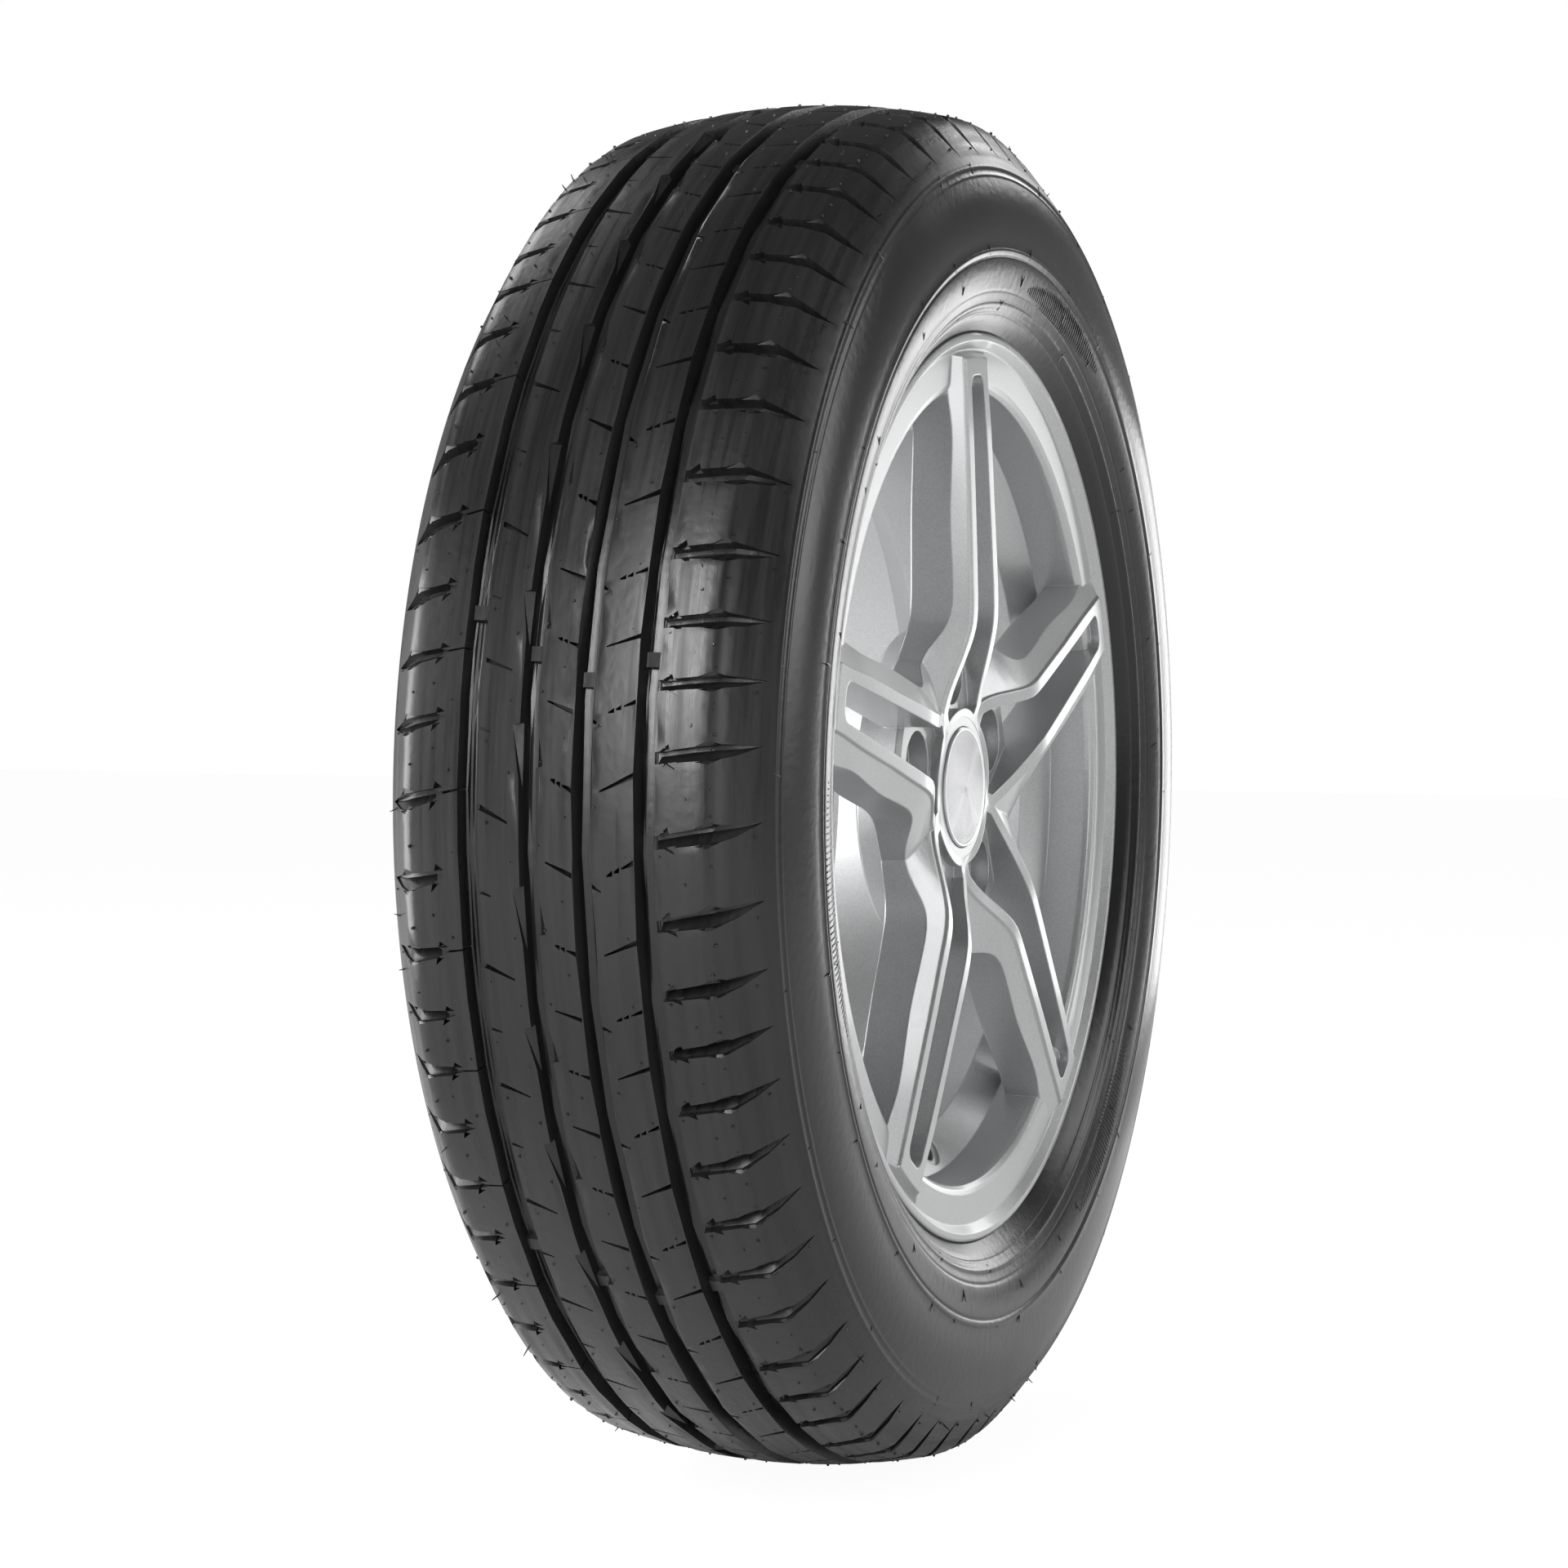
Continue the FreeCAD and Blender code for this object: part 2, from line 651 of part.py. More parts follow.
def make_ring():
    """An open spring ring that holds the fingers out."""
    section = Part.Face(Part.Wire(Part.__sortEdges__(ring_section(0.0))))
    ring = section.revolve(ORIGIN, AXIS, 360.0 - ring_gap_angle)
    if ring.Volume < 0:
        ring.reverse()
    return ring


pieces = {
    "tyre": make_tyre(),
    "alloy_wheel": make_wheel(),
    "centre_cap": make_cap(),
    "cap_face_disc": make_face_disc(),
    "cap_retaining_ring": make_ring(),
}
for name, shape in pieces.items():
    shape.exportStep("parts/" + name + ".step")
    print(name, len(shape.Solids), shape.isValid(), round(shape.Volume), len(shape.Faces))
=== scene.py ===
import math
import random

import bmesh
import bpy
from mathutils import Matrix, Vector
from mathutils.geometry import delaunay_2d_cdt


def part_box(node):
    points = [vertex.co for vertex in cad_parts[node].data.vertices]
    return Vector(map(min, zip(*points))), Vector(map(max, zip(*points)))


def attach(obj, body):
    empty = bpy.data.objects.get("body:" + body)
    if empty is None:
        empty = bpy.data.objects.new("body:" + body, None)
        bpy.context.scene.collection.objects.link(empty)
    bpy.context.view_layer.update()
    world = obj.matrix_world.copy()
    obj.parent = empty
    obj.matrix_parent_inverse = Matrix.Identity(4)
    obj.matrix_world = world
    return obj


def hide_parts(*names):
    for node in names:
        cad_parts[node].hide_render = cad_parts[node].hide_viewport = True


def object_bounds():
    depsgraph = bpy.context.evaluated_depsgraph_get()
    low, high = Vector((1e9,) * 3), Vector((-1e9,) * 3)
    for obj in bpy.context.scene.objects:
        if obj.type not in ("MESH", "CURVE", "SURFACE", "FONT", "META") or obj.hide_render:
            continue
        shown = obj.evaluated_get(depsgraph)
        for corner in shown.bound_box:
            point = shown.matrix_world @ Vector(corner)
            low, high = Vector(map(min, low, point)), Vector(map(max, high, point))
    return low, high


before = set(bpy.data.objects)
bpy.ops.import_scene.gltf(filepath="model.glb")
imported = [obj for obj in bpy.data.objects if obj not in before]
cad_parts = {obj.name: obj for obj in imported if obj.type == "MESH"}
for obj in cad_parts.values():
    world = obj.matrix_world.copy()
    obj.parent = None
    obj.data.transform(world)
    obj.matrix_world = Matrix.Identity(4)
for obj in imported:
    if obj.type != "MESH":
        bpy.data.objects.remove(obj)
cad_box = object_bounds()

# Tyre
# A steel-belted radial of black rubber, moulded in one piece: a tread with four round grooves and
# an asymmetric pattern in three pitch lengths, and smooth sidewalls that grip the rim by their beads.
mm = 0.001
tyre_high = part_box("tyre")[1]
tyre_radius = tyre_high.x / mm
half_section = tyre_high.y / mm
crown_radius = 265.0
tread_edge = 62.8
buttress = (77.0, 267.5)
shoulder_softness = 2.6
groove_edges = ((38.7, 29.7), (12.4, 5.2), (-9.55, -16.45), (-33.35, -41.05))
groove_depth = 6.5
groove_draft = 1.05
groove_round = 0.25
groove_lean = 0.085
lean_span = 48.0
floor_strips = 6
shoulder_depth = 6.4
facet_depth = 1.1
sipe_depth = 5.0
tooth_depth = 3.0
barb_depth = 3.2
nib_depth = 2.4
shoulder_runout = 0.86
slope_foot = 0.5
slope_rise = 0.72
slope_lip = 3.4
pitch_lengths = {"s": 4.6, "m": 5.3, "l": 6.2}
pitch_order = "lssmssmmllmsmllmssmmmmlmmlm" + "smlmssmlmmslmsmmlsmmslmsmllmsmsmmlsmmslml"
first_pitch = 107.8
tile_start = 0.16
tile_pitches = 2
steps_per_pitch = 4
across_steps = 44
weld_distance = 0.00002
sharp_angle = math.radians(28)

pitch_total = sum(pitch_lengths[letter] for letter in pitch_order)
pitch_count = len(pitch_order)
pitch_run = 2 * math.pi * tyre_radius / pitch_count
pitch_starts = [first_pitch]
for letter in pitch_order:
    pitch_starts.append(pitch_starts[-1] + pitch_lengths[letter] * 360.0 / pitch_total)


def pitch_angle(place):
    """Angle round the axle, from +X towards +Z, of a place counted in pitches."""
    turn, rest = divmod(place, pitch_count)
    k = int(rest)
    return pitch_starts[k] + (rest - k) * (pitch_starts[k + 1] - pitch_starts[k]) + 360.0 * turn


def shell(y):
    """Radius of the uncut tread and buttress, with a soft shoulder between them."""
    crown = tyre_radius - crown_radius + math.sqrt(crown_radius ** 2 - y ** 2)
    edge = tyre_radius - crown_radius + math.sqrt(crown_radius ** 2 - tread_edge ** 2)
    flank = edge - (abs(y) - tread_edge) * (edge - buttress[1]) / (buttress[0] - tread_edge)
    overlap = max(shoulder_softness - abs(crown - flank), 0.0)
    return min(crown, flank) - overlap ** 2 / (4 * shoulder_softness)


cuts = []


def cut(points, depth):
    """One cut in the tread: its outline as (place in pitches, y), and a depth or a rule for it."""
    rule = depth if callable(depth) else lambda x, y: depth
    ring = [(place * pitch_run, y) for place, y in points]
    area = sum(a[0] * b[1] - b[0] * a[1] for a, b in zip(ring, ring[1:] + ring[:1]))
    cuts.append((ring if area > 0 else ring[::-1], rule))


tile_end = tile_start + tile_pitches


def groove_rule(inner, outer):
    """Drafted walls down to a slightly rounded floor, which leans a little towards the street."""
    middle = (inner + outer) / 2
    half_floor = (inner - outer) / 2 - groove_draft
    lean = groove_lean * (1 + middle / lean_span)

    def rule(x, y):
        off = y - middle
        held = max(-half_floor, min(half_floor, off))
        floor = groove_depth - groove_round * (held / half_floor) ** 2 - lean * held
        return floor * min(1.0, (half_floor + groove_draft - abs(off)) / groove_draft)
    return rule


for inner, outer in groove_edges:
    floor_run = inner - outer - 2 * groove_draft
    lines = [inner - groove_draft - floor_run * k / floor_strips for k in range(floor_strips + 1)]
    for start, end in zip([inner] + lines, lines + [outer]):
        strip = [(tile_start, start), (tile_start, end), (tile_end, end), (tile_end, start)]
        cut(strip, groove_rule(inner, outer))


def across(places, side, centre, slant, reach):
    """Outline points given as (distance from the middle, mm round the tread), on a slanting line."""
    return [(centre + slant * (far - reach[0]) / (reach[1] - reach[0]) + run / pitch_run, side * far)
            for far, run in places]


def shoulder_rule(x, y):
    """Full depth over the crown, running out down the buttress."""
    past_edge = max(0.0, (abs(y) - tread_edge) / (buttress[0] - tread_edge))
    return shoulder_depth * (1 - shoulder_runout * past_edge)


def slope_rule(centre, slant, reach):
    """The floor of a shoulder groove, which rises from a deep slot to a low lip on its other side."""
    def rule(x, y):
        line = centre + slant * (abs(y) - reach[0]) / (reach[1] - reach[0])
        share = min(1.0, max(0.0, (x - line * pitch_run + slope_foot) / (slope_lip + slope_foot)))
        return shoulder_rule(x, y) * (1 - slope_rise * share)
    return rule


def facet_rule(centre, slant, reach, near, far):
    """A chamfer beside a shoulder groove: level at its outer corner, deep along the groove."""
    def rule(x, y):
        line = centre + slant * (abs(y) - reach[0]) / (reach[1] - reach[0])
        off = abs(x - line * pitch_run)
        return facet_depth * min(1.0, max(0.0, (far - off) / (far - near)))
    return rule


def shoulder_groove(centre, side, slant, reach, linked):
    """A dagger-shaped groove: stem, two barbs, a blade with a facet on either side, and a point."""
    stem, point = reach
    barb, waist, taper = stem + 5.5, stem + 19.0, point - 7.0
    start = stem - 1.0 if linked == "groove" else barb
    slot = [(start, -2.0), (waist, -2.3), (taper, -1.9), (point, -1.0), (taper, -0.4), (waist, -slope_foot),
            (start, -slope_foot)]
    cut(across(slot, side, centre, slant, reach), shoulder_rule)
    slope = [(start, -slope_foot), (waist, -slope_foot), (taper, -0.4), (point, -1.0), (taper, 2.4),
             (waist, slope_lip), (start, 2.2)]
    cut(across(slope, side, centre, slant, reach), slope_rule(centre, slant, reach))
    if linked != "groove":
        nib = [(barb + 0.3, -1.9), (barb + 0.3, 1.8), (stem + 1.0, 0.3)]
        cut(across(nib, side, centre, slant, reach), nib_depth)
    if linked == "sipe":
        hair = [(stem + 2.5, -0.4), (stem + 2.5, 0.5), (stem - 7.0, 0.4), (stem - 7.0, -0.3)]
        cut(across(hair, side, centre, slant, reach), sipe_depth)
    barbs = ([(stem + 1.2, -1.7), (barb - 0.6, -4.3), (barb + 0.2, -1.7)],
             [(barb - 2.2, 2.2), (barb + 2.0, 5.0), (barb + 1.2, 2.2)])
    for spike in barbs:
        cut(across(spike, side, centre, slant, reach), barb_depth)
    for near, far in ((-2.2, -3.9), (3.3, 4.8)):
        facet = [(waist - 4.5, near), (waist + 0.5, far), (waist + 4.5, near)]
        rule = facet_rule(centre, slant, reach, abs(near), abs(far))
        cut(across(facet, side, centre, slant, reach), rule)


def sipe(centre, mouth, tip, drift, width, depth):
    """A thin cut from a groove into a rib, which runs out to a point."""
    half = width / 2 / pitch_run
    cut([(centre - half, mouth), (centre + half, mouth), (centre + drift + half / 3, tip),
         (centre + drift - half / 3, tip)], depth)


def dashed_sipe(centre, mouth, tip, drift, width, depth):
    """The same with two bridges of rubber across it."""
    for start, end in ((0.0, 0.44), (0.52, 0.72), (0.78, 1.0)):
        a = mouth + (tip - mouth) * start
        b = mouth + (tip - mouth) * end
        sipe(centre + drift * start, a, b, drift * (end - start), width, depth)


def tooth(top, bottom, edge, reach, wide):
    """A saw-tooth chamfer on a groove's edge, widest near one end."""
    place = top + (bottom - top) * wide
    cut([(top, edge), (place, edge + reach), (bottom, edge)],
        lambda x, y: tooth_depth * min(1.0, max(0.0, 1 - (y - edge) / reach)))


shoulder_slant = 0.19
street_reach = (41.0, 75.6)
car_reach = (44.0, 75.6)
for k in range(tile_pitches):
    shoulder_groove(k + 1.0, -1, -shoulder_slant, street_reach, "groove")
    shoulder_groove(k + 0.45, 1, shoulder_slant, car_reach, "sipe" if k == 1 else "")
sipe(1.60, 30.2, 17.0, 0.20, 2.3, sipe_depth)
sipe(0.62, 30.2, 24.8, 0.06, 1.5, 2.5)
sipe(0.40, -9.0, 1.6, -0.15, 2.0, sipe_depth)
dashed_sipe(1.40, -9.0, -0.9, -0.12, 2.0, sipe_depth)
sipe(1.22, -33.0, -20.2, 0.19, 2.1, sipe_depth)
dashed_sipe(0.24, -33.0, -22.7, 0.16, 1.9, sipe_depth)
tooth(0.55, 1.40, 11.9, 3.5, 0.04)
tooth(0.42, 1.15, 5.7, -3.3, 0.97)
sipe(0.52, -16.9, -20.4, 0.07, 1.6, 3.0)

half_tread = buttress[0]
corners = [(tile_start, -half_tread), (tile_end, -half_tread),
           (tile_end, half_tread), (tile_start, half_tread)]
plain = [(place * pitch_run, y) for place, y in corners]
points = []
faces = []
for ring in [plain] + [ring for ring, rule in cuts]:
    faces.append(list(range(len(points), len(points) + len(ring))))
    points += ring
for i in range(tile_pitches * steps_per_pitch + 1):
    for j in range(across_steps + 1):
        y = half_tread * (2.0 * j / across_steps - 1)
        points.append(((tile_start + i / steps_per_pitch) * pitch_run, y))
triangles_inside = 1
nearness = 1e-5
flat, _, triangles, _, _, from_faces = delaunay_2d_cdt(
    [Vector(point) for point in points], [], faces, triangles_inside, nearness, True)


def tyre_point(place, y, radius):
    """A point in metres from its place round the tyre in pitches, and its y and radius in mm."""
    angle = math.radians(pitch_angle(place))
    return Vector((radius * math.cos(angle), y, radius * math.sin(angle))) * mm


def region_depth(cut_ids, point):
    """Depth of a face at one of its corners: the deepest of the cuts that hold the face."""
    return max([0.0] + [cuts[k - 1][1](point.x, point.y) for k in cut_ids if k > 0])


triangles, from_faces = zip(*[pair for pair in zip(triangles, from_faces) if pair[1]])
corner_depths = []
for triangle, cut_ids in zip(triangles, from_faces):
    corner_depths.append({k: round(region_depth(cut_ids, flat[k]), 3) for k in triangle})
sides_of_edge = {}
for number, triangle in enumerate(triangles):
    for a, b in zip(triangle, triangle[1:] + triangle[:1]):
        sides_of_edge[(a, b)] = number

tread = bmesh.new()
for tile in range(pitch_count // tile_pitches):
    made = {}

    def corner(k, depth):
        """The tile's vertex over a flat point at one depth, made once."""
        if (k, depth) not in made:
            place = flat[k].x / pitch_run + tile * tile_pitches
            made[(k, depth)] = tread.verts.new(tyre_point(place, flat[k].y, shell(flat[k].y) - depth))
        return made[(k, depth)]

    for triangle, depths in zip(triangles, corner_depths):
        tread.faces.new([corner(k, depths[k]) for k in reversed(triangle)])
    for (a, b), number in sides_of_edge.items():
        other = sides_of_edge.get((b, a))
        if other is None or other < number:
            continue
        near, far = corner_depths[number], corner_depths[other]
        wall = [corner(b, near[b]), corner(a, near[a]), corner(a, far[a]), corner(b, far[b])]
        wall = [vert for n, vert in enumerate(wall) if vert not in wall[:n]]
        if len(wall) > 2:
            tread.faces.new(list(reversed(wall)))


def arc_points(a, middle, b, count):
    """Points on the circle through three points, from a to b, both included."""
    ax, ay, mx, my, bx, by = *a, *middle, *b
    d = 2 * (ax * (my - by) + mx * (by - ay) + bx * (ay - my))
    a_square, m_square, b_square = ax ** 2 + ay ** 2, mx ** 2 + my ** 2, bx ** 2 + by ** 2
    cx = (a_square * (my - by) + m_square * (by - ay) + b_square * (ay - my)) / d
    cy = (a_square * (bx - mx) + m_square * (ax - bx) + b_square * (mx - ax)) / d
    start, end = math.atan2(ay - cy, ax - cx), math.atan2(by - cy, bx - cx)
    radius = math.hypot(ax - cx, ay - cy)
    turns = [start + (end - start) * k / (count - 1) for k in range(count)]
    return [(cx + radius * math.cos(turn), cy + radius * math.sin(turn)) for turn in turns]


bead_line = (74.3, 199.8)
widest = (half_section, 233.0)
upper_wall = arc_points(buttress, (82.2, 250.9), widest, 30)
lower_wall = arc_points(widest, (81.5, 214.7), bead_line, 26)
side_profile = upper_wall + lower_wall[1:]
raised_rings = ((264.8, 1.2, 0.55), (261.2, 0.7, 0.22), (229.4, 1.0, 0.40), (227.2, 0.6, -0.40),
                (212.5, 0.6, -0.2), (206.5, 1.3, 0.6), (203.2, 0.6, -0.3))
ring_margin = 1.5
ring_parts = 4


def relief(radius):
    """How far the sidewall's moulded rings stand out at a radius."""
    return sum(height * math.exp(-((radius - place) / width) ** 2) for place, width, height in raised_rings)


dense = []
for (y0, r0), (y1, r1) in zip(side_profile, side_profile[1:]):
    low, high = min(r0, r1) - ring_margin, max(r0, r1) + ring_margin
    parts = ring_parts if any(low < ring[0] < high for ring in raised_rings) else 1
    dense += [(y0 + (y1 - y0) * k / parts, r0 + (r1 - r0) * k / parts) for k in range(parts)]
dense.append(side_profile[-1])
outside = [(y + relief(r), r) for y, r in dense]
outside[0] = buttress
bead = [(70.0, 195.4), (66.7, 194.5), (64.3, 192.0), (63.4, 188.8), (63.4, 184.3), (57.0, 177.9),
        (46.5, 177.0)]
liner = [(52.5, 199.8), (73.0, 216.5), (76.5, 233.0), (74.8, 252.0), (62.8, 272.4), (31.4, 279.4)]
half_ring = outside + bead + liner
whole_ring = half_ring + [(-y, r) for y, r in reversed(half_ring)]
places = [tile_start + k / steps_per_pitch for k in range(pitch_count * steps_per_pitch)]
rings = [[tread.verts.new(tyre_point(place, y, r)) for y, r in whole_ring] for place in places]
for ring, after in zip(rings, rings[1:] + rings[:1]):
    for k in range(len(whole_ring) - 1):
        tread.faces.new([ring[k], after[k], after[k + 1], ring[k + 1]])
bmesh.ops.remove_doubles(tread, verts=tread.verts, dist=weld_distance)
bmesh.ops.recalc_face_normals(tread, faces=tread.faces)
for face in tread.faces:
    face.smooth = True
tyre_mesh = bpy.data.meshes.new("tyre_body")
tread.to_mesh(tyre_mesh)
tread.free()
tyre_mesh.set_sharp_from_angle(angle=sharp_angle)
tyre = bpy.data.objects.new("tyre_body", tyre_mesh)
bpy.context.scene.collection.objects.link(tyre)


class Wire:
    """A shader socket in Python sums, which add Math nodes; node() adds any other node."""

    def __init__(self, tree, socket=None):
        self.tree = tree
        self.socket = socket

    def node(self, kind, settings, sockets, output=0):
        made = self.tree.nodes.new(kind)
        for name, value in settings.items():
            setattr(made, name, value)
        for name, value in sockets.items():
            if isinstance(value, Wire):
                self.tree.links.new(value.socket, made.inputs[name])
            else:
                made.inputs[name].default_value = value
        return Wire(self.tree, made.outputs[output])

    def sum(self, operation, a, b):
        return self.node("ShaderNodeMath", {"operation": operation}, {0: a, 1: b})

    def __add__(self, other):
        return self.sum("ADD", self, other)

    def __sub__(self, other):
        return self.sum("SUBTRACT", self, other)

    def __rsub__(self, other):
        return self.sum("SUBTRACT", other, self)

    def __mul__(self, other):
        return self.sum("MULTIPLY", self, other)

    def __pow__(self, other):
        return self.sum("POWER", self, other)

    __radd__ = __add__
    __rmul__ = __mul__


def finish_for(name, **constants):
    """A new material: its Principled node with fixed values, and a Wire to add nodes to its tree."""
    made = bpy.data.materials.new(name)
    made.use_nodes = True
    principled = made.node_tree.nodes["Principled BSDF"]
    for socket, value in constants.items():
        principled.inputs[socket.replace("_", " ")].default_value = value
    return made, principled, Wire(made.node_tree)


def feed(wire, principled, socket, value):
    """Link a Wire to one input of a Principled node."""
    wire.tree.links.new(value.socket, principled.inputs[socket])


rubber, rubber_face, wire = finish_for(
    "tyre_rubber", Base_Color=(0.012, 0.012, 0.0125, 1.0), Roughness=0.4, Specular_IOR_Level=0.45)
place = wire.node("ShaderNodeTexCoord", {}, {}, "Object")
east = wire.node("ShaderNodeSeparateXYZ", {}, {0: place}, 0)
axial = wire.node("ShaderNodeSeparateXYZ", {}, {0: place}, 1)
up = wire.node("ShaderNodeSeparateXYZ", {}, {0: place}, 2)
radius = (east * east + up * up) ** 0.5
smear_at = wire.node("ShaderNodeCombineXYZ", {}, {0: east * 8.0, 1: axial * 210.0, 2: up * 8.0})
smear = wire.node(
    "ShaderNodeTexNoise", {}, {"Vector": smear_at, "Scale": 1.0, "Detail": 5.0, "Roughness": 0.62})
cloud = wire.node("ShaderNodeTexNoise", {}, {"Vector": place, "Scale": 16.0, "Detail": 4.0})
grain = wire.node("ShaderNodeTexNoise", {}, {"Vector": place, "Scale": 2600.0, "Detail": 2.0})
streak = wire.node("ShaderNodeMapRange", {}, {0: smear, 1: 0.36, 2: 0.66})
tread_mask = wire.node("ShaderNodeMapRange", {}, {0: radius, 1: 0.262, 2: 0.270})
shade = 0.007 + tread_mask * streak * 0.007 + cloud * 0.006
black = wire.node("ShaderNodeCombineColor", {}, {0: shade, 1: shade, 2: shade * 1.04})
feed(wire, rubber_face, "Base Color", black)
feed(wire, rubber_face, "Roughness", 0.16 + cloud * 0.14 + tread_mask * (0.01 + streak * 0.20))
ripple = wire.node("ShaderNodeTexNoise", {}, {"Vector": place, "Scale": 240.0, "Detail": 1.0})
skin = wire.node(
    "ShaderNodeBump", {}, {"Strength": 0.10, "Distance": 0.0004, "Height": grain + ripple * 3.0})
feed(wire, rubber_face, "Normal", skin)
tyre_mesh.materials.append(rubber)
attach(tyre, "root")
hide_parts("tyre")

# Small rubber on the tyre
# What the mould leaves on it: bars in the grooves that show wear, nubs and hairs of rubber from the
# mould's vents, and fields of fine ribs on the street-side wall. All are one with the tyre's rubber.


def rubber_tree(name):
    """A node tree that sets a tapered nub on every spot, stretched and turned by the spot's own values."""
    tree = bpy.data.node_groups.new(name, "GeometryNodeTree")
    tree.interface.new_socket("Spots", in_out="INPUT", socket_type="NodeSocketGeometry")
    for size, kind in (("Sides", "Int"), ("Top", "Float"), ("Unevenness", "Float"), ("Seed", "Int")):
        tree.interface.new_socket(size, in_out="INPUT", socket_type="NodeSocket" + kind)
    tree.interface.new_socket("Rubber", in_out="OUTPUT", socket_type="NodeSocketGeometry")
    given = tree.nodes.new("NodeGroupInput").outputs

    def add(kind, settings, sockets):
        """One node with its settings and inputs, given back as its outputs."""
        made = tree.nodes.new(kind)
        for key, value in settings.items():
            setattr(made, key, value)
        for key, value in sockets.items():
            if isinstance(value, bpy.types.NodeSocket):
                tree.links.new(value, made.inputs[key])
            else:
                made.inputs[key].default_value = value
        return made.outputs

    corner_radius = math.sqrt(0.5)
    top = add("ShaderNodeMath", {"operation": "MULTIPLY"}, {0: given["Top"], 1: corner_radius})[0]
    nub = add("GeometryNodeMeshCone", {}, {"Vertices": given["Sides"], "Radius Top": top,
                                           "Radius Bottom": corner_radius, "Depth": 1.0})["Mesh"]
    squared = add("GeometryNodeTransform", {}, {"Geometry": nub, "Rotation": (0.0, 0.0, math.pi / 4)})[0]
    values = {}
    for key in ("outward", "along", "size"):
        values[key] = add("GeometryNodeInputNamedAttribute", {"data_type": "FLOAT_VECTOR"}, {"Name": key})[0]
    turn = add("FunctionNodeAxesToRotation", {"primary_axis": "Z", "secondary_axis": "X"},
               {0: values["outward"], 1: values["along"]})[0]
    least = add("ShaderNodeMath", {"operation": "SUBTRACT"}, {0: 1.0, 1: given["Unevenness"]})[0]
    scatter = add("FunctionNodeRandomValue", {"data_type": "FLOAT"},
                  {2: least, 3: 1.0, "Seed": given["Seed"]})[1]
    size = add("ShaderNodeVectorMath", {"operation": "SCALE"}, {0: values["size"], "Scale": scatter})[0]
    placed = add("GeometryNodeInstanceOnPoints", {}, {"Points": given["Spots"], "Instance": squared,
                                                      "Rotation": turn, "Scale": size})[0]
    whole = add("GeometryNodeRealizeInstances", {}, {"Geometry": placed})[0]
    coloured = add("GeometryNodeSetMaterial", {}, {"Geometry": whole, "Material": rubber})[0]
    tree.links.new(coloured, tree.nodes.new("NodeGroupOutput").inputs["Rubber"])
    return tree


def set_rubber(name, spots, **sizes):
    """Make one piece of nubs from spots of (place, outward, along, (length, width, height) in mm)."""
    base = bpy.data.meshes.new(name + "_spots")
    base.from_pydata([spot[0] for spot in spots], [], [])
    for k, key in ((1, "outward"), (2, "along"), (3, "size")):
        layer = base.attributes.new(key, "FLOAT_VECTOR", "POINT")
        scale = mm if key == "size" else 1.0
        layer.data.foreach_set("vector", [value * scale for spot in spots for value in spot[k]])
    piece = bpy.data.objects.new(name, base)
    bpy.context.scene.collection.objects.link(piece)
    grow = piece.modifiers.new(name, "NODES")
    grow.node_group = rubber_tree(name)
    for item in grow.node_group.interface.items_tree:
        if item.in_out == "INPUT" and item.name in sizes:
            grow[item.identifier] = sizes[item.name]
    made = bpy.data.meshes.new_from_object(piece.evaluated_get(bpy.context.evaluated_depsgraph_get()))
    piece.modifiers.remove(grow)
    piece.data = made
    made.name = name
    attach(piece, "root")


def on_tread(place, y, below=0.2):
    """A point just under the tread's surface, its outward direction, and the way round the tyre there."""
    angle = math.radians(pitch_angle(place))
    slope = shell(y + 0.5) - shell(y - 0.5)
    outward = Vector((math.cos(angle), -slope, math.sin(angle))).normalized()
    return tyre_point(place, y, shell(y) - below), outward, Vector((-math.sin(angle), 0.0, math.cos(angle)))


def on_sidewall(angle, radius, below=0.15):
    """The same on the street-side wall, with the way out along the wall instead of round it."""
    spin = math.radians(angle)
    near = max(range(len(dense) - 1), key=lambda k: -abs(dense[k][1] - radius))
    (y0, r0), (y1, r1) = dense[near], dense[near + 1]
    share = (radius - r0) / (r1 - r0)
    run = Vector((y0 - y1, r0 - r1)).normalized()
    out = Vector((math.cos(spin), 0.0, math.sin(spin)))
    axle = Vector((0.0, -1.0, 0.0))
    along = axle * run.x + out * run.y
    outward = (axle * run.y - out * run.x).normalized()
    spot = (axle * (y0 + (y1 - y0) * share + relief(radius)) + out * radius) * mm
    return spot - outward * below * mm, outward, along


bar_angles = (164.7, 167.9, 169.8, 168.2)
bar_count = 7
bar_length = 6.5
bar_height = 3.5
bar_root = 1.2
bar_gap = 0.8
bars = []
for (inner, outer), angle in zip(groove_edges, bar_angles):
    y = (inner + outer) / 2
    for k in range(bar_count):
        turn = math.radians(angle + k * 360.0 / bar_count)
        out = Vector((math.cos(turn), 0.0, math.sin(turn)))
        spot = (out * (shell(y) - groove_depth - bar_root) + Vector((0.0, y, 0.0))) * mm
        along = Vector((-math.sin(turn), 0.0, math.cos(turn)))
        bars.append((spot, out, along, (bar_length, inner - outer - bar_gap, bar_height)))
set_rubber("wear_bars", bars, Sides=4, Top=0.86, Unevenness=0.0, Seed=1)

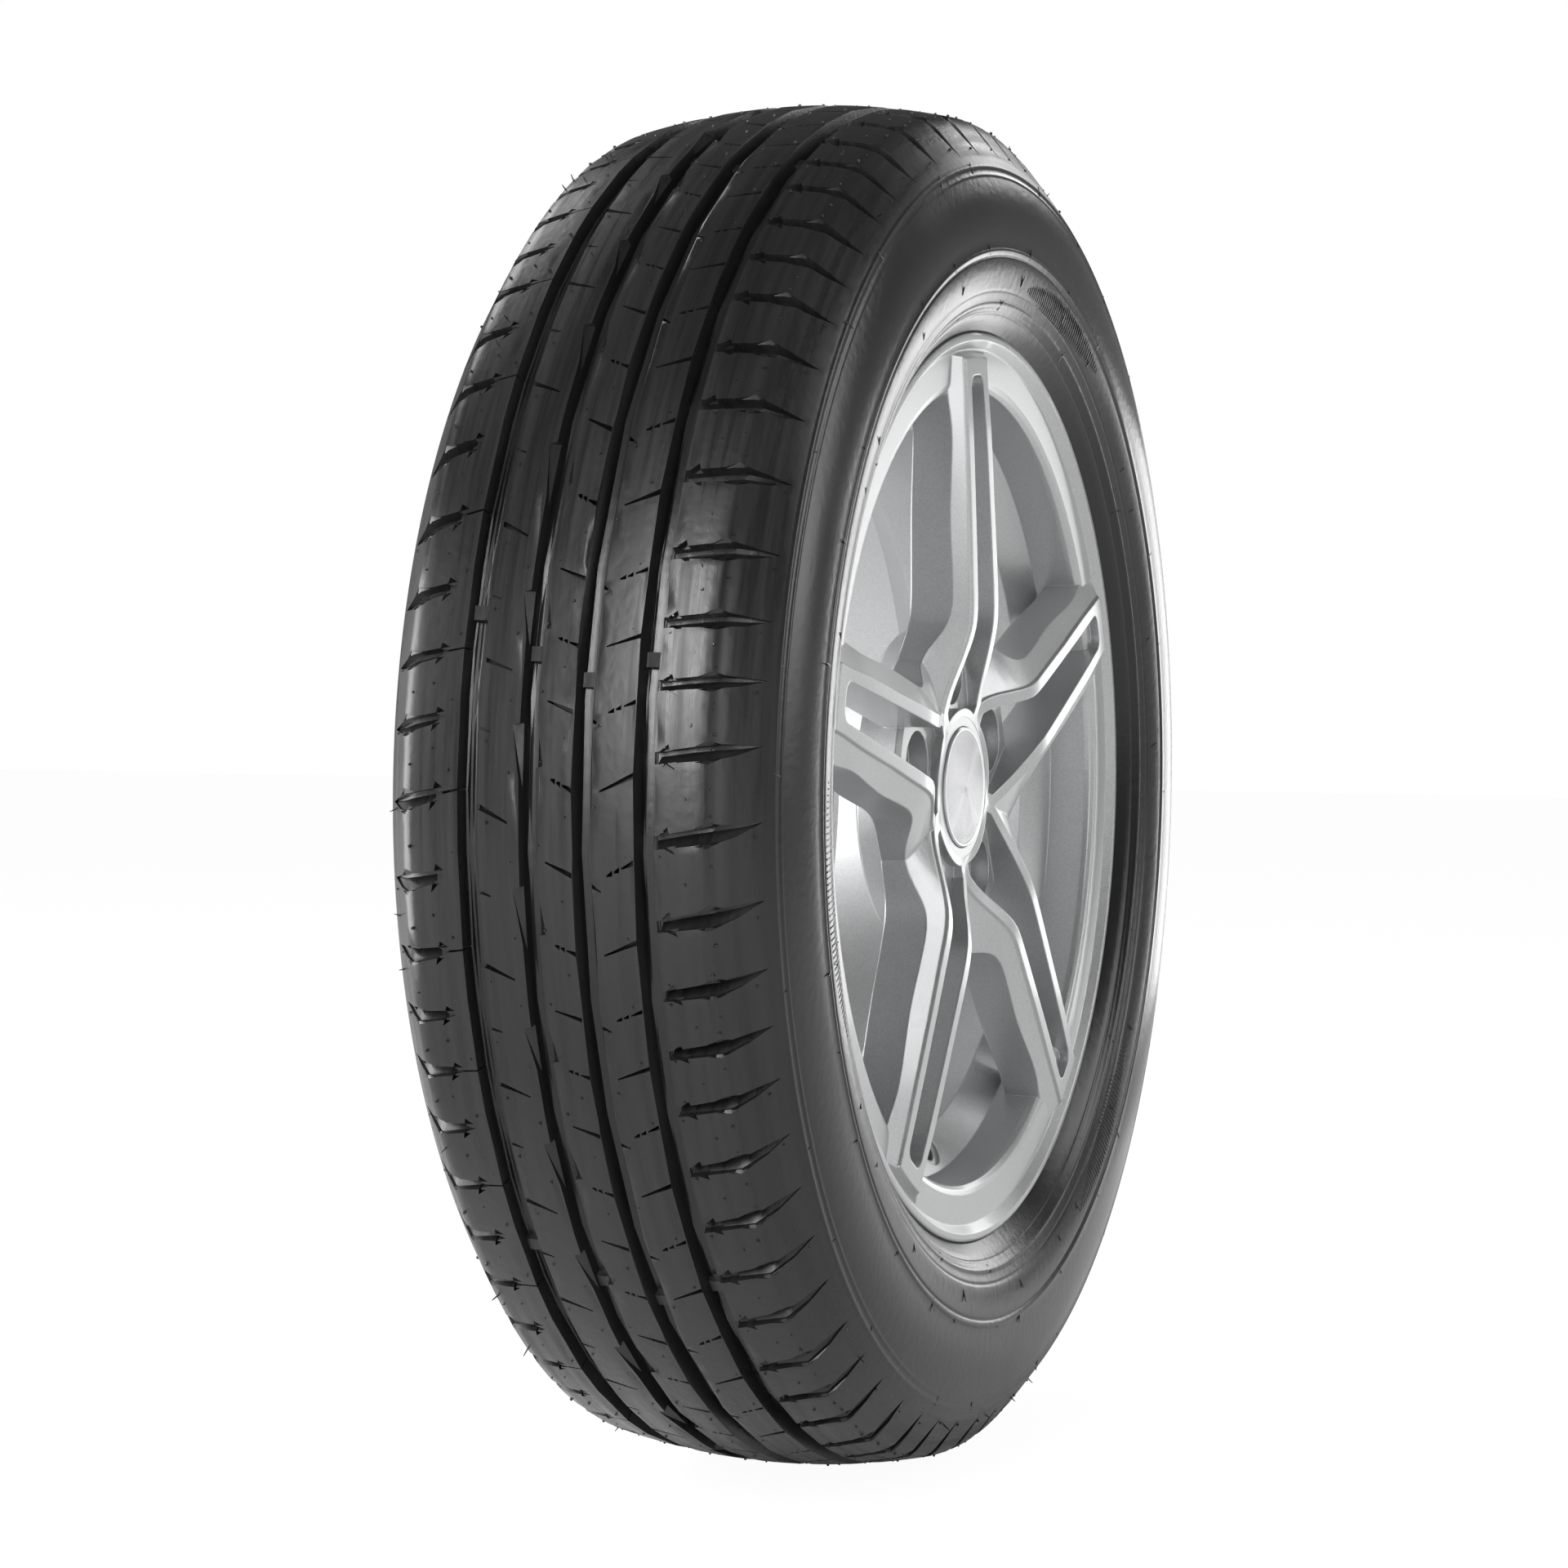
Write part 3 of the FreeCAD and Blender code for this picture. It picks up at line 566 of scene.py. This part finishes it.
chance = random.Random(5)
pip = (1.2, 1.2, 1.0)
pip_share = 0.8
pip_stray = (0.05, 1.2)
pip_rows = ((-43.4, 0.13), (-43.6, -0.13), (-53.0, 0.5), (-61.2, 0.32), (-61.4, 0.68), (-73.2, -0.05),
            (-30.0, 0.13), (-19.0, 0.62), (-5.5, 0.75), (3.0, 0.10), (16.0, 0.25), (27.0, 0.85),
            (42.0, 0.20), (51.5, 0.95), (61.0, 0.15), (73.0, 0.70))
pips = []
for k in range(pitch_count):
    for y, shift in pip_rows:
        if chance.random() < pip_share:
            place = k + shift + chance.uniform(-pip_stray[0], pip_stray[0])
            pips.append((*on_tread(place, y + chance.uniform(-pip_stray[1], pip_stray[1])), pip))
set_rubber("vent_pips", pips, Sides=6, Top=0.6, Unevenness=0.5, Seed=2)

tread_hairs = 60
tread_hair_rows = (-73.5, -61.5, -53.0, 53.0, 61.5, 73.5)
wall_hair_rows = ((262.0, 26), (228.0, 30), (216.0, 24), (204.5, 20))
tread_hair_width = 0.6
tread_hair_lengths = (2.0, 4.0)
wall_hair_width = 0.7
wall_hair_lengths = (3.5, 6.5)
hair_stray = 0.3
hair_lean = 0.5
hair_lift = 0.12
hairs = []
for k in range(tread_hairs):
    y = chance.choice(tread_hair_rows)
    spot, outward, along = on_tread(chance.uniform(0.0, pitch_count), y)
    lean = (outward + along * chance.uniform(-hair_lean, hair_lean)).normalized()
    length = chance.uniform(*tread_hair_lengths)
    hairs.append((spot, lean, along, (tread_hair_width, tread_hair_width, length)))
for hair_radius, count in wall_hair_rows:
    for k in range(count):
        angle = (k + chance.uniform(-hair_stray, hair_stray)) * 360.0 / count
        spot, outward, along = on_sidewall(angle, hair_radius)
        sideways = outward.cross(along)
        sway = sideways * chance.uniform(-hair_lean, hair_lean)
        lie = (along + sway + outward * hair_lift).normalized()
        length = chance.uniform(*wall_hair_lengths)
        hairs.append((spot, lie, outward, (wall_hair_width, wall_hair_width, length)))
set_rubber("vent_hairs", hairs, Sides=5, Top=0.45, Unevenness=0.3, Seed=3)

field_count = 3
field_ribs = 44
field_step = 0.62
rib_width = 0.75
rib_height = 0.32
rib_shortest = 3.0
rib_swell = 9.0
field_start = 190.0
field_radius = 218.5
field_drift = 5.0
ribs = []
for field in range(field_count):
    for k in range(field_ribs):
        share = k / (field_ribs - 1)
        length = rib_shortest + rib_swell * math.sin(math.pi * share) ** 0.6
        angle = field_start + field * 360.0 / field_count - (k - field_ribs / 2) * field_step
        spot, outward, along = on_sidewall(angle, field_radius + field_drift * (share - 0.5))
        ribs.append((spot, outward, along, (length, rib_width, rib_height)))
set_rubber("sidewall_ribs", ribs, Sides=4, Top=0.55, Unevenness=0.0, Seed=4)

# Alloy wheel
# One aluminium casting, machined on its seats and bore and painted bright silver under clear lacquer.
# It is bolted to the hub through five pockets between the roots of the twin spokes.
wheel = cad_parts["alloy_wheel"]
silver, silver_face, wire = finish_for(
    "silver_lacquer", Base_Color=(0.62, 0.63, 0.64, 1.0), Metallic=0.75, Roughness=0.36, Coat_Weight=0.35,
    Coat_Roughness=0.08)
place = wire.node("ShaderNodeTexCoord", {}, {}, "Object")
flake = wire.node("ShaderNodeTexVoronoi", {}, {"Vector": place, "Scale": 2400.0}, "Color")
sparkle = wire.node("ShaderNodeSeparateColor", {}, {0: flake}, 0)
orange_peel = wire.node("ShaderNodeTexNoise", {}, {"Vector": place, "Scale": 700.0, "Detail": 2.0})
tone = 0.43 + sparkle * 0.10
paint = wire.node("ShaderNodeCombineColor", {}, {0: tone, 1: tone * 1.01, 2: tone * 1.02})
feed(wire, silver_face, "Base Color", paint)
feed(wire, silver_face, "Roughness", 0.30 + sparkle * 0.14)
soft_edges = wire.node("ShaderNodeBevel", {"samples": 8}, {"Radius": 0.0011})
lacquer = wire.node(
    "ShaderNodeBump", {},
    {"Strength": 0.05, "Distance": 0.0003, "Height": orange_peel, "Normal": soft_edges})
feed(wire, silver_face, "Normal", lacquer)
wheel.data.materials.clear()
wheel.data.materials.append(silver)

# Centre cap
# A moulded plastic cap snapped into the hub's bore by slit fingers and a spring ring behind them.
# A thin spun aluminium disc is glued into the recess of its face.
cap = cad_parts["centre_cap"]
cap_paint, cap_paint_face, wire = finish_for(
    "cap_paint", Base_Color=(0.50, 0.51, 0.52, 1.0), Metallic=0.7, Roughness=0.3, Coat_Weight=0.3)
place = wire.node("ShaderNodeTexCoord", {}, {}, "Object")
fine = wire.node("ShaderNodeTexNoise", {}, {"Vector": place, "Scale": 1500.0})
feed(wire, cap_paint_face, "Roughness", 0.24 + fine * 0.12)
cap.data.materials.clear()
cap.data.materials.append(cap_paint)
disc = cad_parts["cap_face_disc"]
spun, spun_face, wire = finish_for(
    "spun_aluminium", Base_Color=(0.46, 0.46, 0.47, 1.0), Metallic=1.0, Roughness=0.25)
place = wire.node("ShaderNodeTexCoord", {}, {}, "Object")
east = wire.node("ShaderNodeSeparateXYZ", {}, {0: place}, 0)
up = wire.node("ShaderNodeSeparateXYZ", {}, {0: place}, 2)
radius = (east * east + up * up) ** 0.5
turnings = wire.node(
    "ShaderNodeTexNoise", {"noise_dimensions": "1D"}, {"W": radius * 9000.0, "Detail": 3.0})
feed(wire, spun_face, "Roughness", 0.18 + turnings * 0.2)
rings_cut = wire.node("ShaderNodeBump", {}, {"Strength": 0.25, "Distance": 0.0002, "Height": turnings})
feed(wire, spun_face, "Normal", rings_cut)
disc.data.materials.clear()
disc.data.materials.append(spun)
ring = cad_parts["cap_retaining_ring"]
steel, steel_face, wire = finish_for(
    "spring_steel", Base_Color=(0.4, 0.4, 0.41, 1.0), Metallic=1.0, Roughness=0.4)
place = wire.node("ShaderNodeTexCoord", {}, {}, "Object")
drawn = wire.node("ShaderNodeTexNoise", {}, {"Vector": place, "Scale": 900.0})
feed(wire, steel_face, "Roughness", 0.3 + drawn * 0.2)
ring.data.materials.clear()
ring.data.materials.append(steel)

# Floor
# A plain pale sheet of paper for the tyre to stand on, which runs out of the picture on every side.
# It glows to the eye like a lit studio sweep, and less in reflections, which also show a painted shadow round
# the tyre.
floor_half = 6.0
floor_gap = 0.0005
floor_glow = 1.06
glow_share = 0.9
gloss_share = 0.3
floor_mesh = bpy.data.meshes.new("floor")
floor_level = cad_box[0][2] - floor_gap
floor_turns = ((-1, -1), (1, -1), (1, 1), (-1, 1))
floor_corners = [(x * floor_half, y * floor_half, floor_level) for x, y in floor_turns]
floor_mesh.from_pydata(floor_corners, [], [(0, 1, 2, 3)])
floor = bpy.data.objects.new("floor", floor_mesh)
bpy.context.scene.collection.objects.link(floor)
paper, paper_face, wire = finish_for("floor_paper", Base_Color=(0.9, 0.9, 0.9, 1.0), Roughness=0.9)
seen = wire.node("ShaderNodeLightPath", {}, {}, "Is Camera Ray")
mirrored = wire.node("ShaderNodeLightPath", {}, {}, "Is Glossy Ray")
through = wire.node("ShaderNodeLightPath", {}, {}, "Is Transmission Ray")
glow = wire.node("ShaderNodeEmission", {}, {"Color": (1.0, 1.0, 1.0, 1.0), "Strength": floor_glow})
body = Wire(wire.tree, paper_face.outputs[0])
spot = wire.node("ShaderNodeTexCoord", {}, {}, "Object")
reach = wire.node("ShaderNodeVectorMath", {"operation": "LENGTH"}, {0: spot}, "Value")
# Painted shadow: in reflections the floor's glow fades away towards the tyre. It is full beyond 1.3 m of the
# wheel's centre and gone within 0.45 m, in place of the floor's shade round the tyre.
beyond_painted_shadow = wire.node(
    "ShaderNodeMapRange", {"interpolation_type": "SMOOTHSTEP"}, {0: reach, 1: 0.45, 2: 1.3})
# The painted shadow dims only the glow that reflections see, not the floor seen by the camera.
glowing = (seen + through + mirrored * beyond_painted_shadow * gloss_share) * glow_share
mixed = wire.node("ShaderNodeMixShader", {}, {0: glowing, 1: body, 2: glow})
wire.tree.links.new(mixed.socket, wire.tree.nodes["Material Output"].inputs["Surface"])
floor_mesh.materials.append(paper)

# Light
# A white studio: soft boxes on the street side, ahead of the tread, beyond the far edge, over the top and
# behind the wheel. The surround is white to the eye and dim in reflections, brighter near the horizon.
room_level = 0.30
world = bpy.data.worlds.new("studio")
world.use_nodes = True
bpy.context.scene.world = world
wire = Wire(world.node_tree)
seen = wire.node("ShaderNodeLightPath", {}, {}, "Is Camera Ray")
mirrored = wire.node("ShaderNodeLightPath", {}, {}, "Is Glossy Ray")
through = wire.node("ShaderNodeLightPath", {}, {}, "Is Transmission Ray")
background = world.node_tree.nodes["Background"]
background.inputs["Color"].default_value = (1.0, 1.0, 1.0, 1.0)
towards = wire.node("ShaderNodeTexCoord", {}, {}, "Generated")
height = wire.node("ShaderNodeSeparateXYZ", {}, {0: towards}, 2)
horizon = wire.node(
    "ShaderNodeMapRange", {"interpolation_type": "SMOOTHSTEP"}, {0: height, 1: 0.30, 2: 0.04, 3: 0.0, 4: 1.0})
seen_in_gloss = 0.10 + horizon * 0.22
to_white = 1.0 - room_level
level = room_level + seen * to_white + through * to_white + mirrored * (seen_in_gloss - room_level)
world.node_tree.links.new(level.socket, background.inputs["Strength"])


def soft_box(name, spot, aim, size, power):
    """A rectangular lamp of a size and power at a spot, turned to its aim and hidden from the camera."""
    lamp = bpy.data.lights.new(name, "AREA")
    lamp.shape = "RECTANGLE"
    lamp.size, lamp.size_y = size
    lamp.energy = power
    made = bpy.data.objects.new(name, lamp)
    made.location = spot
    made.visible_camera = False
    made.rotation_euler = (Vector(aim) - Vector(spot)).to_track_quat("-Z", "Y").to_euler()
    bpy.context.scene.collection.objects.link(made)


soft_box("street_box", (1.3, -2.3, 0.9), (0, 0, 0), (1.2, 1.6), 18.0)
soft_box("tread_box", (-2.3, 0.06, 0.85), (0, 0, 0), (0.45, 1.5), 40.0)
soft_box("fill_box", (-2.2, 0.95, 0.75), (0, 0, 0), (0.8, 1.5), 3.0)
soft_box("edge_box", (1.0, -0.245, 0.01), (0, -0.245, 0.01), (0.37, 0.42), 1.6)
soft_box("top_box", (1.9, -0.28, 0.97), (0, 0, 0.27), (0.6, 0.45), 3.6)
soft_box("barrel_box", (-0.22, 0.40, 0.02), (0.16, 0.03, 0), (0.3, 0.3), 1.5)
soft_box("back_box", (-0.9, 1.8, 0.5), (0.1, 0, 0), (1.2, 1.1), 7.0)
soft_box("shoulder_box", (-1.5, -2.2, 0.5), (0, 0, 0), (0.35, 1.2), 12.0)
soft_box("inner_box", (1.2, 2.2, 1.9), (0, 0, 0), (1.4, 1.0), 20.0)

# Camera
# The photograph's view: from the street side and ahead of the tread, slightly above the axle.
# Its distance, focal length and shift were fitted to the outline of the tyre.
view_turn = math.radians(-68.418)
view_rise = math.radians(2.62)
view_distance = 1.7047
picture_shift = (0.02105, -0.00037)
sensor_width = 36.0
focal_pixels = 4765.7
picture_pixels = 1920
back = Vector((math.sin(view_turn) * math.cos(view_rise), -math.cos(view_turn) * math.cos(view_rise),
               math.sin(view_rise)))
right = Vector((math.cos(view_turn), math.sin(view_turn), 0.0))
upward = back.cross(right)
lens = bpy.data.cameras.new("camera")
lens.sensor_width = sensor_width
lens.lens = sensor_width * focal_pixels / picture_pixels
camera = bpy.data.objects.new("camera", lens)
camera.location = back * view_distance - right * picture_shift[0] - upward * picture_shift[1]
camera.rotation_euler = back.to_track_quat("Z", "Y").to_euler()
bpy.context.scene.collection.objects.link(camera)
bpy.context.scene.camera = camera
bpy.context.scene.view_settings.view_transform = "Standard"
